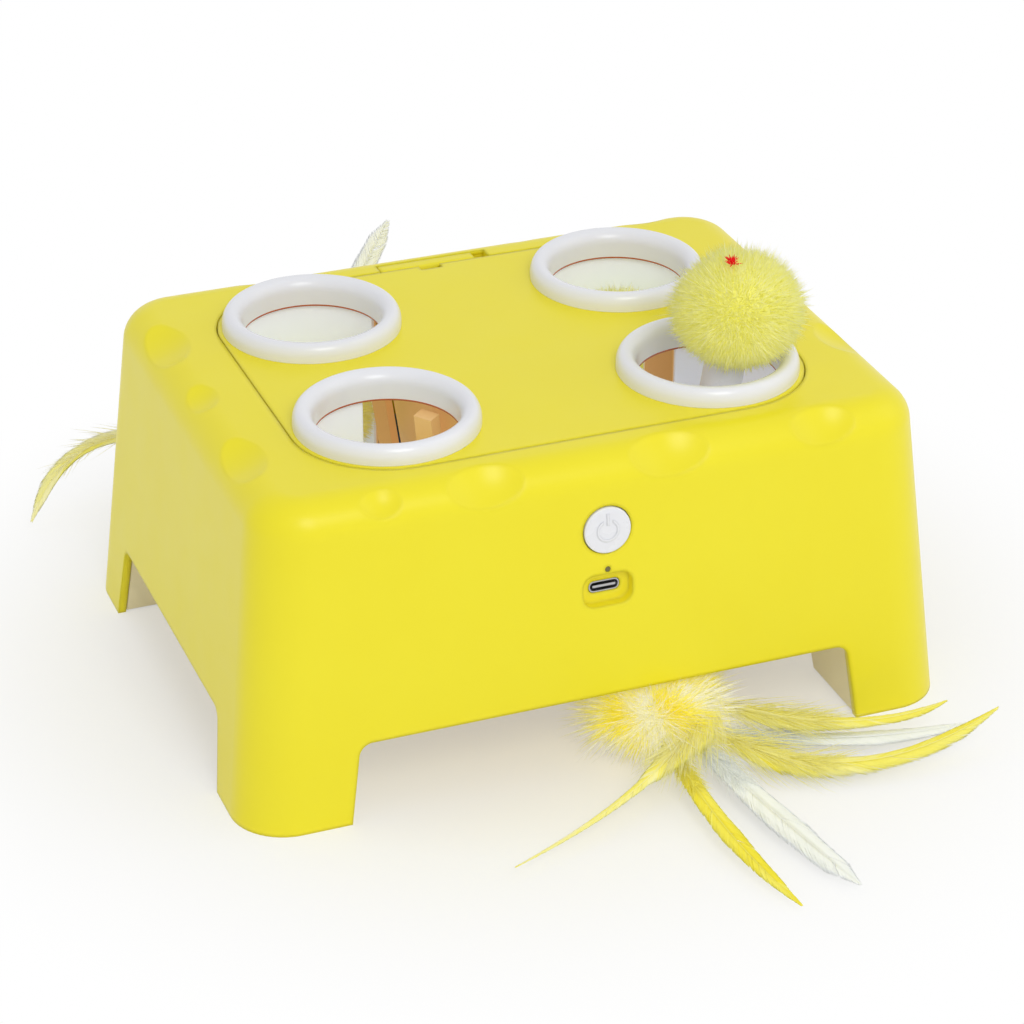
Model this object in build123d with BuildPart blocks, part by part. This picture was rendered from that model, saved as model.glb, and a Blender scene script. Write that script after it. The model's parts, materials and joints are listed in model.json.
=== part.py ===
from build123d import *
import os
from math import acos, atan, atan2, cos, degrees, hypot, pi, radians, sin, tan

os.makedirs("parts", exist_ok=True)

# Automatic cat toy: a four-legged cheese-like box with four holes. One geared motor turns a cam drum,
# which lifts a pompom through each hole in turn, and swings two feather lures round under the box.
# Millimetres. +Z is up, the origin is on the floor under the drum's axis, and the front faces -Y.

# Body
body_length = 212.5          # along X at the floor
body_width = 162.4           # along Y at the floor
body_height = 95.2           # floor to the flat top
end_lean = 0.1036            # how far the end walls lean in for each mm of height
side_lean = 0.0739           # the same for the front and back walls
corner_radius = 16.0         # upright corners
top_edge_radius = 10.0       # rounding of the top edge outside
inner_edge_radius = 13.0     # rounding of the top edge inside, which leaves plastic for the dimples
shell_wall = 2.4
fit_gap = 0.3                # between pieces that are set into each other

# Leg arches
arch_height = 23.9
front_arch_half = 72.8       # half width at the top of the front and back arches
front_arch_flare = 3.4       # how much wider the arch is at the floor, each side
side_arch_half = 48.2
side_arch_flare = 4.2
arch_corner_radius = 4.0

# Cheese dimples along the top edge
left_dimples = [(37.0, 24.0), (0.5, 13.5), (-38.5, 22.0)]                 # place along the edge, width
front_dimples = [(-63.0, 10.0), (-33.5, 20.0), (19.5, 21.5), (65.5, 17.5)]
right_dimples = [(-28.0, 19.0), (24.0, 22.0)]
back_dimples = [(72.0, 17.0), (31.0, 11.0), (-52.0, 18.0)]
end_dimple_tilt = 22.0       # degrees from upright at which the end dimples face
side_dimple_tilt = 45.0      # the same for the front and back ones
end_dimple_share = 0.085     # depth for each mm of width
side_dimple_share = 0.13

# Holes, rings and lid
hole_x = 47.9                # hole centres from the drum's axis
hole_y = 33.3
ring_outer_radius = 26.0
ring_crest_radius = 23.5
ring_opening_radius = 20.2
ring_height = 5.3
ring_collar_wall = 2.1
ring_collar_depth = 3.4
lid_margin = 27.3            # lid edge beyond the hole centres, and its corner radius
lid_thickness = 2.4
lid_gap = 0.35
ledge_width = 2.2
ledge_thickness = 2.0
ledge_root = 3.0             # how far the ledge runs into the shell's top

# Lid lock: a bar that slides along the rim behind the lid
latch_width = 30.0
latch_depth = 4.2
latch_thickness = 2.2
latch_travel = 4.0
latch_tongue_width = 6.0
latch_tongue_depth = 2.4
latch_tongue_thickness = 1.0
latch_ridge = 0.8            # ridge along the back of the bar, which runs in a groove

# Ball wells
well_radius = 22.0
well_wall = 1.6
well_opening_angle = 109.0
well_seam = 0.4

# Tray
tray_rise = 0.4              # underside of the tray above the arch
tray_thickness = 2.4
leg_wall = 1.8
leg_foot_gap = 0.6           # white legs end this far above the floor

# Case screws
boss_from_end = 17.0         # boss centres in from the end walls and from the front and back walls
boss_from_side = 16.5
boss_radius = 3.5
boss_top = 0.8               # how far below the top the bosses reach, in wall thicknesses
screw_radius = 1.4
screw_length = 14.0
screw_head_radius = 3.0
screw_head_height = 2.0
screw_clearance = 0.1

# Lift
lift_lean = 8.0              # degrees outward
lift_pivot_depth = 33.2      # where the lift axis crosses the hole's axis, below the flat top
ball_rise = 16.8             # centre of a raised ball above the flat top
arm_floor_gap = 0.95         # lowest arm above the tray
arm_width = 8.0
arm_thickness = 5.0
rail_reach = 22.0            # rail centre inward from the lift axis
rail_width = 6.0
rail_thickness = 4.0
rail_spare = 2.7             # rail beyond the raised carriage
rail_foot_length = 8.0
rail_foot_width = 12.0
rail_foot_height = 3.0
slide_gap = 0.25
carriage_inner = 26.0        # carriage from the lift axis, inner and outer face
carriage_outer = 17.5
carriage_width = 14.0
carriage_below = 4.0
carriage_above = 8.0
pin_radius = 1.5
pin_rise = 5.0               # cam pin above the arm centre
pin_length = 1.2
post_radius = 5.85
post_foot_radius = 7.0
ball_radius = 17.0
post_end = 6.0               # the post ends this far below the ball's centre
socket_gap = 0.1

# Cam drum
drum_gap = 0.4               # between the pins and the drum
drum_gear_gap = 1.0          # drum above its gear
drum_top_gap = 4.7           # drum below the flat top
drum_wall = 3.4
drum_web = 2.5
drum_hub_radius = 6.0
drum_hub_height = 26.0
groove_depth = 2.0
groove_width = 3.6
groove_top_margin = 3.8      # drum above the groove's peak
ramp_half_angle = 77.0
ramp_steps = 7

# Shaft, bush and hub
shaft_radius = 2.5
shaft_above_hub = 4.0
shaft_inset = 1.6            # shaft end above the underside of the hub
running_gap = 0.05
bush_radius = 4.5
bush_flange_radius = 6.5
bush_flange_height = 1.5
bush_drop = 1.5              # bush below the tray
rotor_gap = 0.3
hub_radius = 13.0
hub_height = 9.0
hub_screw_head_radius = 3.6
hub_screw_head_height = 1.8
hub_screw_radius = 1.3

# Gears
gear_module = 1.0
gear_addendum = 0.65
gear_dedendum = 1.05
gear_backlash = 0.22
pressure_angle = radians(20)
gear_face = 3.0
drum_teeth = 40
idler_small_teeth = 14
idler_big_teeth = 28
pinion_teeth = 10
idler_axle_radius = 1.5
idler_seat_radius = 3.5
gear_floor_gap = 1.3         # lower gear above the tray
gear_level_gap = 1.0         # between the two gear levels
drum_gear_hub_radius = 7.0

# Motor
motor_width = 12.0
motor_depth = 10.0
gearbox_height = 9.0
can_height = 15.0
motor_shaft_radius = 1.5
motor_shaft_reach = 5.0      # into the gearbox
bracket_plate = 2.0
bracket_clearance = 2.0      # over the lower gear
bracket_leg_inside = 10.6
bracket_leg_thickness = 2.6
bracket_length = 15.0
bracket_cheek_height = 8.0
bracket_cheek = 1.8

# Front wall: button, light, charging socket and board
button_below_top = 21.2
button_radius = 6.8
button_gap = 0.3
button_proud = 0.6
button_flange_radius = 8.3
button_flange = 1.2
button_stem_radius = 2.5
button_travel = 1.2
button_rest_gap = 0.15
symbol_radius = 3.3
symbol_stroke = 0.7
symbol_height = 0.25
light_below_button = 5.0     # light centre from the button's edge
light_radius = 0.85
light_gap = 0.1
light_flange_radius = 1.6
light_flange = 2.0
usb_below_light = 1.4        # pocket's edge from the light's centre
usb_pocket_length = 14.6
usb_pocket_height = 9.6
usb_pocket_radius = 3.5
usb_pocket_depth = 3.0
usb_pocket_wall = 2.0
usb_length = 8.94
usb_thickness = 3.26
usb_wall = 0.35
usb_gap = 0.2
usb_depth = 6.0
usb_tongue_length = 6.7
usb_tongue_thickness = 0.7
board_depth = 11.5           # front of the board behind the outside of the wall
board_thickness = 1.6
board_length = 44.0
board_height = 36.0
board_drop = 1.0             # board centre below the middle between button and socket
board_post_x = 17.0
board_post_y = 12.0
board_post_radius = 2.6
board_screw_radius = 1.0
board_screw_length = 7.0
switch_size = 6.0
switch_height = 3.5
plunger_radius = 1.7
plunger_height = 1.0

# Battery
cell_radius = 7.1
cell_length = 50.0
cell_wall_gap = 2.0          # cell from the back wall
cell_nub_radius = 2.8
cell_nub = 1.2
cradle_length = 40.0
cradle_floor = 1.5
cradle_wall = 1.4
cradle_height = 9.0

# Leads
lead_radius = 1.0
lead_bend = 5.0

# Lures: a wand from the hub, a crimped sleeve and a bunch of feathers in fluff
lure_angle = -76.7           # front lure, degrees round the drum's axis
lure_inset = 7.2             # fluff centre from the axis, less than half the body's width
wand_radius = 1.0
wand_height = 13.0
wand_start = 6.0
sleeve_radius = 2.6
sleeve_length = 15.0
sleeve_overlap = 10.0
fluff_radius = 20.5
fluff_half_height = 10.4
fluff_height = 12.2
quill_thickness = 0.9
feather_tip = 0.8
feather_stations = [0.0, 0.12, 0.3, 0.5, 0.7, 0.87, 1.0]

# Places worked out from the sizes above
tray_bottom = arch_height + tray_rise
tray_top = tray_bottom + tray_thickness
boss_x = body_length / 2 - end_lean * tray_top - boss_from_end
boss_y = body_width / 2 - side_lean * tray_top - boss_from_side
lid_bottom = body_height - lid_thickness
ledge_bottom = lid_bottom - ledge_thickness
lid_half_x = hole_x + lid_margin
lid_half_y = hole_y + lid_margin
latch_floor = body_height - latch_thickness - slide_gap
latch_front = lid_half_y + lid_gap
latch_slot = latch_width + latch_travel + 2 * lid_gap
latch_x = (latch_width - latch_slot) / 2 + lid_gap
hole_reach = hypot(hole_x, hole_y)
hole_angle = atan2(hole_y, hole_x)
well_top = body_height - ring_collar_depth - well_seam
between_holes = degrees(2 * hole_angle)
low_gear_z = tray_top + gear_floor_gap
high_gear_z = low_gear_z + gear_face + gear_level_gap
drum_bottom = high_gear_z + gear_face + drum_gear_gap
drum_top = body_height - drum_top_gap
drum_hub_top = drum_bottom + drum_hub_height
drum_face = carriage_inner + pin_length + drum_gap
shaft_top = drum_hub_top + shaft_above_hub
idler_y = -gear_module * (drum_teeth + idler_small_teeth) / 2
pinion_y = idler_y - gear_module * (idler_big_teeth + pinion_teeth) / 2
bush_top = tray_top + bush_flange_height
bush_bottom = tray_bottom - bush_drop
hub_top = bush_bottom - rotor_gap
hub_bottom = hub_top - hub_height
shaft_bottom = hub_bottom + shaft_inset
bracket_bottom = low_gear_z + gear_face + bracket_clearance
motor_z = bracket_bottom + bracket_plate
cell_z = tray_top + cradle_floor + fit_gap + cell_radius
cell_y = body_width / 2 - side_lean * cell_z - shell_wall - cell_wall_gap - cell_radius
button_height = body_height - button_below_top
light_height = button_height - button_radius - light_below_button
usb_height = light_height - usb_below_light - usb_pocket_height / 2
board_centre = (button_height + usb_height) / 2 - board_drop
lure_reach = body_width / 2 - lure_inset

# The lift along its leaning axis, measured from where that crosses the hole's axis
lean = radians(lift_lean)
lift_pivot_height = body_height - lift_pivot_depth
arm_low_z = tray_top + arm_floor_gap + arm_thickness / 2 * cos(lean) + post_foot_radius * sin(lean)
arm_low = (arm_low_z - lift_pivot_height) / cos(lean)
pin_reach = carriage_inner + pin_length
groove_low = lift_pivot_height + (arm_low + pin_rise) * cos(lean) + pin_reach * sin(lean)
groove_high = drum_top - groove_top_margin - groove_width / 2
lift_stroke = (groove_high - groove_low) / cos(lean)
rail_top = arm_low + lift_stroke + carriage_above + rail_spare
ball_offset = (lift_pivot_depth + ball_rise) / cos(lean) - arm_low - lift_stroke

# How far up each ball stands: the ramp's peak is at the front right hole
corners = {"front_left": (-1, -1), "front_right": (1, -1), "back_left": (-1, 1), "back_right": (1, 1)}
side_raise = max(0.0, lift_stroke * (1 - between_holes / ramp_half_angle))
raised = {"front_left": 0.0, "front_right": lift_stroke, "back_left": 0.0, "back_right": side_raise}


def half_length(z):
    return body_length / 2 - end_lean * z


def half_width(z):
    return body_width / 2 - side_lean * z


def tapered_block(inset, bottom, top, corner, edge=0.0):
    """Block with the body's four leaning walls, set in all round, from one height to another."""
    with BuildPart() as block:
        with BuildSketch(Plane.XZ):
            with BuildLine():
                Polyline(
                    (-half_length(bottom) + inset, bottom),
                    (half_length(bottom) - inset, bottom),
                    (half_length(top) - inset, top),
                    (-half_length(top) + inset, top),
                    close=True,
                )
            make_face()
        extrude(amount=body_width, both=True)
        with BuildSketch(Plane.YZ):
            with BuildLine():
                Polyline(
                    (-half_width(bottom) + inset, bottom),
                    (half_width(bottom) - inset, bottom),
                    (half_width(top) - inset, top),
                    (-half_width(top) + inset, top),
                    close=True,
                )
            make_face()
        extrude(amount=body_length, both=True, mode=Mode.INTERSECT)
        fillet(block.edges().filter_by(lambda e: abs(e.tangent_at(0.5).Z) > 0.5), radius=corner)
        if edge:
            fillet(block.faces().sort_by(Axis.Z)[-1].edges(), radius=edge)
    return block.part


def arch_passages(extra, top, rounding=0.0):
    """The two spaces between the legs, one through the front and back and one through the sides."""
    openings = [
        (Plane.XZ, front_arch_half + extra, front_arch_flare, body_width),
        (Plane.YZ, side_arch_half + extra, side_arch_flare, body_length),
    ]
    below = 1.0
    with BuildPart() as passages:
        for plane, half, flare, reach in openings:
            slope = flare / arch_height
            with BuildSketch(plane) as opening:
                with BuildLine():
                    Polyline(
                        (-half - slope * (arch_height + below), -below),
                        (half + slope * (arch_height + below), -below),
                        (half + slope * (arch_height - top), top),
                        (-half - slope * (arch_height - top), top),
                        close=True,
                    )
                make_face()
                if rounding:
                    fillet(opening.vertices().group_by(Axis.Y)[-1], radius=rounding)
            extrude(amount=reach, both=True)
    return passages.part


def front_plane(height, depth=0.0):
    """Plane on the outside of the front wall at a height, facing out, or that far behind it."""
    slant = atan(side_lean)
    outside = Plane(
        origin=(0, -half_width(height), height),
        x_dir=(1, 0, 0),
        z_dir=(0, -cos(slant), sin(slant)),
    )
    return outside.offset(-depth)


def hole_plane(corner, height):
    """Level plane at a hole's centre, with local X pointing at the drum's axis."""
    side_x, side_y = corners[corner]
    return Plane(
        origin=(side_x * hole_x, side_y * hole_y, height),
        x_dir=(-side_x * hole_x, -side_y * hole_y, 0),
        z_dir=(0, 0, 1),
    )


def lift_plane(corner):
    """Plane square to a lift's leaning axis, with local X pointing away from the drum."""
    side_x, side_y = corners[corner]
    out_x = side_x * cos(hole_angle)
    out_y = side_y * sin(hole_angle)
    return Plane(
        origin=(side_x * hole_x, side_y * hole_y, lift_pivot_height),
        x_dir=(out_x * cos(lean), out_y * cos(lean), -sin(lean)),
        z_dir=(out_x * sin(lean), out_y * sin(lean), cos(lean)),
    )


def drum_radius(z):
    """Outside of the cam drum: a cone that runs alongside the leaning lifts."""
    level = lift_pivot_height + drum_face * sin(lean)
    return hole_reach - drum_face * cos(lean) + (z - level) * tan(lean)


def gear_outline(teeth, first_tooth):
    """Points of a spur gear with involute flanks and one tooth's middle at an angle in degrees."""
    pitch = gear_module * teeth / 2
    base = pitch * cos(pressure_angle)
    tip = pitch + gear_addendum * gear_module
    root = pitch - gear_dedendum * gear_module
    half_tooth = pi / (2 * teeth) - gear_backlash / (2 * pitch)
    pitch_involute = tan(pressure_angle) - pressure_angle
    start = max(base, root)
    flank = []
    steps = 4
    for step in range(steps + 1):
        radius = start + (tip - start) * step / steps
        angle = acos(min(1.0, base / radius))
        flank.append((radius, half_tooth + pitch_involute - (tan(angle) - angle)))
    if root < base:
        flank.insert(0, (root, flank[0][1]))
    points = []
    for tooth in range(teeth):
        middle = radians(first_tooth) + 2 * pi * tooth / teeth
        for radius, half in flank:
            points.append((radius * cos(middle - half), radius * sin(middle - half)))
        for radius, half in reversed(flank):
            points.append((radius * cos(middle + half), radius * sin(middle + half)))
    return points


# Outer shell: the yellow cheese-like body with its legs, lid seat, dimples and front wall
def dimple_ball(width, share, tilt, half):
    """Radius of a dimple's cutting ball, and its centre's distance from the axis and height."""
    depth = share * width
    ball = (width * width / 4 + depth * depth) / (2 * depth)
    away = top_edge_radius + ball - depth
    out = half - top_edge_radius + away * sin(radians(tilt))
    return ball, out, body_height - top_edge_radius + away * cos(radians(tilt))


dimple_balls = []
for side, spots in ((-1, left_dimples), (1, right_dimples)):
    for place, width in spots:
        ball, out, rise = dimple_ball(width, end_dimple_share, end_dimple_tilt, half_length(body_height))
        dimple_balls.append((side * out, place, rise, ball))
for side, spots in ((-1, front_dimples), (1, back_dimples)):
    for place, width in spots:
        ball, out, rise = dimple_ball(width, side_dimple_share, side_dimple_tilt, half_width(body_height))
        dimple_balls.append((place, side * out, rise, ball))

with BuildPart() as outer_shell:
    add(tapered_block(0, 0, body_height, corner_radius, top_edge_radius))
    add(
        tapered_block(
            shell_wall,
            -shell_wall,
            body_height - shell_wall,
            corner_radius - shell_wall,
            inner_edge_radius,
        ),
        mode=Mode.SUBTRACT,
    )
    add(arch_passages(0, arch_height, arch_corner_radius), mode=Mode.SUBTRACT)
    with BuildSketch(Plane.XY.offset(ledge_bottom)):
        ledge_outer = lid_margin + ledge_root
        RectangleRounded(2 * (hole_x + ledge_outer), 2 * (hole_y + ledge_outer), ledge_outer)
    extrude(amount=ledge_thickness)
    with BuildSketch(Plane.XY.offset(lid_bottom)):
        seat = lid_margin + lid_gap
        RectangleRounded(2 * (hole_x + seat), 2 * (hole_y + seat), seat)
    extrude(amount=2 * lid_thickness, mode=Mode.SUBTRACT)
    with BuildSketch(Plane.XY.offset(ledge_bottom - inner_edge_radius)):
        mouth = lid_margin - ledge_width
        RectangleRounded(2 * (hole_x + mouth), 2 * (hole_y + mouth), mouth)
    extrude(amount=2 * inner_edge_radius, mode=Mode.SUBTRACT)
    with BuildSketch(Plane.XY.offset(latch_floor)):
        with Locations((0, latch_front + (latch_depth + fit_gap) / 2 - lid_gap)):
            Rectangle(latch_slot, latch_depth + fit_gap + 2 * lid_gap)
    extrude(amount=2 * latch_thickness, mode=Mode.SUBTRACT)
    with BuildSketch(Plane.XY.offset(latch_floor)):
        with Locations((0, latch_front + (latch_depth + latch_ridge + fit_gap) / 2)):
            Rectangle(latch_slot, latch_depth + latch_ridge + fit_gap)
    extrude(amount=latch_ridge + 2 * slide_gap, mode=Mode.SUBTRACT)
    with BuildSketch(Plane.XY.offset(tray_top)):
        with GridLocations(2 * boss_x, 2 * boss_y, 2, 2):
            Circle(boss_radius)
    extrude(amount=body_height - boss_top * shell_wall - tray_top)
    with BuildSketch(Plane.XY.offset(tray_top)):
        with GridLocations(2 * boss_x, 2 * boss_y, 2, 2):
            Circle(screw_radius + screw_clearance)
    extrude(amount=screw_length, mode=Mode.SUBTRACT)
    with BuildSketch(front_plane(board_centre, shell_wall / 2)):
        with GridLocations(2 * board_post_x, 2 * board_post_y, 2, 2):
            Circle(board_post_radius)
    extrude(amount=-(board_depth - shell_wall / 2))
    with BuildSketch(front_plane(board_centre, board_depth)):
        with GridLocations(2 * board_post_x, 2 * board_post_y, 2, 2):
            Circle(board_screw_radius + screw_clearance)
    extrude(amount=board_screw_length - board_thickness, mode=Mode.SUBTRACT)
    with BuildSketch(front_plane(usb_height, shell_wall / 2)):
        pocket_rim = 2 * usb_pocket_wall
        RectangleRounded(
            usb_pocket_length + pocket_rim,
            usb_pocket_height + pocket_rim,
            usb_pocket_radius + usb_pocket_wall,
        )
    extrude(amount=-(usb_pocket_depth + usb_pocket_wall - shell_wall / 2))
    with BuildSketch(front_plane(usb_height, usb_pocket_depth)):
        RectangleRounded(usb_pocket_length, usb_pocket_height, usb_pocket_radius)
    extrude(amount=2 * usb_pocket_depth, mode=Mode.SUBTRACT)
    with BuildSketch(front_plane(usb_height)):
        slot_height = usb_thickness + 2 * usb_gap
        RectangleRounded(usb_length + 2 * usb_gap, slot_height, 0.45 * slot_height)
    extrude(amount=-(usb_pocket_depth + 2 * usb_pocket_wall), mode=Mode.SUBTRACT)
    with BuildSketch(front_plane(button_height)):
        Circle(button_radius + button_gap)
    extrude(amount=-2 * shell_wall, mode=Mode.SUBTRACT)
    with BuildSketch(front_plane(button_height, shell_wall)):
        Circle(button_flange_radius + button_gap)
    extrude(amount=-inner_edge_radius, mode=Mode.SUBTRACT)
    with BuildSketch(front_plane(light_height)):
        Circle(light_radius)
    extrude(amount=-board_depth, mode=Mode.SUBTRACT)
    for x, y, z, ball in dimple_balls:
        with Locations((x, y, z)):
            Sphere(ball, mode=Mode.SUBTRACT)
outer_shell.part.label = "outer_shell"
export_step(outer_shell.part, "parts/outer_shell.step")

# Bottom tray: white floor of the works, with a hollow white leg inside each yellow one
tray_inset = shell_wall + fit_gap
with BuildPart() as white_legs:
    add(tapered_block(tray_inset, leg_foot_gap, tray_top, corner_radius - tray_inset))
    add(arch_passages(fit_gap, tray_top + shell_wall), mode=Mode.SUBTRACT)
with BuildPart() as leg_hollows:
    hollow_inset = tray_inset + leg_wall
    add(tapered_block(hollow_inset, -leg_wall, tray_bottom, corner_radius - hollow_inset))
    add(arch_passages(fit_gap + leg_wall, tray_top + shell_wall), mode=Mode.SUBTRACT)
with BuildPart() as bottom_tray:
    add(tapered_block(tray_inset, tray_bottom, tray_top, corner_radius - tray_inset))
    add(white_legs.part)
    add(leg_hollows.part, mode=Mode.SUBTRACT)
    with BuildSketch(Plane.XY.offset(tray_top)):
        with Locations((0, idler_y)):
            Circle(idler_seat_radius)
    extrude(amount=gear_floor_gap - rotor_gap)
    with BuildSketch(Plane.XY.offset(tray_bottom)):
        with GridLocations(2 * boss_x, 2 * boss_y, 2, 2):
            Circle(screw_radius + 2 * screw_clearance)
        with Locations((0, idler_y)):
            Circle(idler_axle_radius)
        Circle(bush_radius)
    extrude(amount=tray_thickness + gear_floor_gap, mode=Mode.SUBTRACT)
bottom_tray.part.label = "bottom_tray"
export_step(bottom_tray.part, "parts/bottom_tray.step")

# Case screws: up through the tray into the shell's bosses
with BuildPart() as case_screws:
    with BuildSketch(Plane.XY.offset(tray_bottom)):
        with GridLocations(2 * boss_x, 2 * boss_y, 2, 2):
            Circle(screw_head_radius)
    extrude(amount=-screw_head_height)
    fillet(case_screws.edges().group_by(Axis.Z)[0], radius=0.45 * screw_head_height)
    with BuildSketch(Plane.XY.offset(tray_bottom)):
        with GridLocations(2 * boss_x, 2 * boss_y, 2, 2):
            Circle(screw_radius)
    extrude(amount=screw_length)
case_screws.part.label = "case_screws"
export_step(case_screws.part, "parts/case_screws.step")

# Lid panel: drops into the shell's top, with the four holes, a notch that lets the lock's tongue pass
# and, beside it, a pocket that the tongue slides into
with BuildPart() as lid_panel:
    with BuildSketch(Plane.XY.offset(lid_bottom)):
        RectangleRounded(2 * lid_half_x, 2 * lid_half_y, lid_margin)
        with GridLocations(2 * hole_x, 2 * hole_y, 2, 2):
            Circle(ring_opening_radius + ring_collar_wall + socket_gap, mode=Mode.SUBTRACT)
        notch_width = latch_tongue_width + 2 * lid_gap
        with Locations((latch_x, latch_front)):
            Rectangle(notch_width, 2 * (latch_tongue_depth + lid_gap), mode=Mode.SUBTRACT)
    extrude(amount=lid_thickness)
    with BuildSketch(Plane.XY.offset(lid_bottom)):
        with Locations((latch_x + latch_travel / 2, latch_front)):
            Rectangle(notch_width + latch_travel, 2 * (latch_tongue_depth + lid_gap))
    pocket_top = latch_floor + 2 * slide_gap + latch_tongue_thickness
    extrude(amount=pocket_top - lid_bottom, mode=Mode.SUBTRACT)
lid_panel.part.label = "lid_panel"
export_step(lid_panel.part, "parts/lid_panel.step")

# Lid lock: a flush bar in the rim, with a ridge behind it and a tongue that goes under the lid's edge
with BuildPart() as lid_latch:
    with BuildSketch(Plane.XY.offset(body_height)):
        with Locations((latch_x, latch_front + latch_depth / 2)):
            Rectangle(latch_width, latch_depth)
    extrude(amount=-latch_thickness)
    fillet(lid_latch.faces().sort_by(Axis.Z)[-1].edges(), radius=latch_thickness / 4)
    with BuildSketch(Plane.XY.offset(latch_floor + slide_gap)):
        with Locations((latch_x, latch_front + (latch_depth + latch_ridge) / 2)):
            Rectangle(latch_width, latch_depth + latch_ridge)
    extrude(amount=latch_ridge)
    with BuildSketch(Plane.XY.offset(latch_floor + slide_gap)):
        with Locations((latch_x, latch_front + (latch_depth - latch_tongue_depth) / 2)):
            Rectangle(latch_tongue_width, latch_depth + latch_tongue_depth)
    extrude(amount=latch_tongue_thickness)
lid_latch.part.label = "lid_latch"
export_step(lid_latch.part, "parts/lid_latch.step")

# Hole rings, ball wells and guide rails, one of each for every hole
for corner, (side_x, side_y) in corners.items():
    ring_plane = Plane(
        origin=(side_x * hole_x, side_y * hole_y, body_height),
        x_dir=(1, 0, 0),
        z_dir=(0, -1, 0),
    )
    with BuildPart() as hole_ring:
        with BuildSketch(ring_plane):
            with BuildLine():
                collar_outside = ring_opening_radius + ring_collar_wall
                bead_foot = 0.28 * ring_height
                Line((collar_outside, 0), (ring_outer_radius, 0))
                Line((ring_outer_radius, 0), (ring_outer_radius, bead_foot))
                EllipticalCenterArc(
                    (ring_crest_radius, bead_foot),
                    ring_outer_radius - ring_crest_radius,
                    ring_height - bead_foot,
                    start_angle=0,
                    arc_size=90,
                )
                EllipticalCenterArc(
                    (ring_crest_radius, bead_foot),
                    ring_crest_radius - ring_opening_radius,
                    ring_height - bead_foot,
                    start_angle=90,
                    arc_size=90,
                )
                Line((ring_opening_radius, bead_foot), (ring_opening_radius, -ring_collar_depth))
                Line((ring_opening_radius, -ring_collar_depth), (collar_outside, -ring_collar_depth))
                Line((collar_outside, -ring_collar_depth), (collar_outside, 0))
            make_face()
        revolve(axis=Axis((side_x * hole_x, side_y * hole_y, 0), (0, 0, 1)))
    hole_ring.part.label = f"hole_ring_{corner}"
    export_step(hole_ring.part, f"parts/hole_ring_{corner}.step")

    half_opening = radians(well_opening_angle / 2)
    cut_reach = 2 * well_radius
    with BuildPart() as ball_well:
        with BuildSketch(hole_plane(corner, tray_top)):
            Circle(well_radius + well_wall)
            Circle(well_radius, mode=Mode.SUBTRACT)
            with BuildLine():
                Polyline(
                    (0, 0),
                    (cut_reach * cos(half_opening), -cut_reach * sin(half_opening)),
                    (cut_reach, -cut_reach),
                    (cut_reach, cut_reach),
                    (cut_reach * cos(half_opening), cut_reach * sin(half_opening)),
                    close=True,
                )
            make_face(mode=Mode.SUBTRACT)
        extrude(amount=well_top - tray_top)
    ball_well.part.label = f"ball_well_{corner}"
    export_step(ball_well.part, f"parts/ball_well_{corner}.step")

    rail_drop = (lift_pivot_height + rail_reach * sin(lean) - tray_top) / cos(lean)
    foot_inward = rail_reach * cos(lean) + rail_drop * sin(lean)
    with BuildPart(lift_plane(corner)) as guide_rail:
        with BuildSketch(lift_plane(corner).offset(rail_top)):
            with Locations((-rail_reach, 0)):
                Rectangle(rail_thickness, rail_width)
        extrude(amount=-(rail_top + rail_drop + rail_thickness))
        split(bisect_by=Plane.XY.offset(tray_top), keep=Keep.TOP)
        with BuildSketch(hole_plane(corner, tray_top)):
            with Locations((foot_inward, 0)):
                Rectangle(rail_foot_length, rail_foot_width)
        extrude(amount=rail_foot_height)
    guide_rail.part.label = f"guide_rail_{corner}"
    export_step(guide_rail.part, f"parts/guide_rail_{corner}.step")

# Lift arms: a carriage on the rail, an arm into the well and the post that holds the ball
for corner in corners:
    arm_plane = lift_plane(corner).offset(arm_low + raised[corner])
    carriage_length = carriage_inner - carriage_outer
    carriage_middle = (carriage_inner + carriage_outer) / 2
    with BuildPart() as lift_arm:
        with BuildSketch(arm_plane.offset(-carriage_below)):
            with Locations((-carriage_middle, 0)):
                Rectangle(carriage_length, carriage_width)
        extrude(amount=carriage_below + carriage_above)
        with BuildSketch(arm_plane.offset(-arm_thickness / 2)):
            with Locations((-carriage_outer / 2, 0)):
                Rectangle(carriage_outer, arm_width)
            Circle(post_foot_radius)
        extrude(amount=arm_thickness)
        with BuildSketch(arm_plane):
            Circle(post_radius)
        extrude(amount=ball_offset - post_end)
        with BuildSketch(arm_plane.offset(-carriage_below)):
            with Locations((-rail_reach, 0)):
                Rectangle(rail_thickness + 2 * slide_gap, rail_width + 2 * slide_gap)
        extrude(amount=carriage_below + carriage_above, mode=Mode.SUBTRACT)
        pin_plane = Plane(
            origin=arm_plane.from_local_coords((-carriage_inner, 0, pin_rise)),
            z_dir=-arm_plane.x_dir,
        )
        with BuildSketch(pin_plane):
            Circle(pin_radius)
        extrude(amount=pin_length)
    lift_arm.part.label = f"lift_arm_{corner}"
    export_step(lift_arm.part, f"parts/lift_arm_{corner}.step")

    with BuildPart() as pompom:
        with Locations(arm_plane.offset(ball_offset)):
            Sphere(ball_radius)
        with BuildSketch(arm_plane):
            Circle(post_radius + socket_gap)
        extrude(amount=ball_offset - post_end, mode=Mode.SUBTRACT)
    pompom.part.label = f"pompom_{corner}"
    export_step(pompom.part, f"parts/pompom_{corner}.step")

# Cam drum: a cone with a groove that climbs to a peak and falls again, and dwells low the rest of the way
peak_angle = -degrees(hole_angle)


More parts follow.
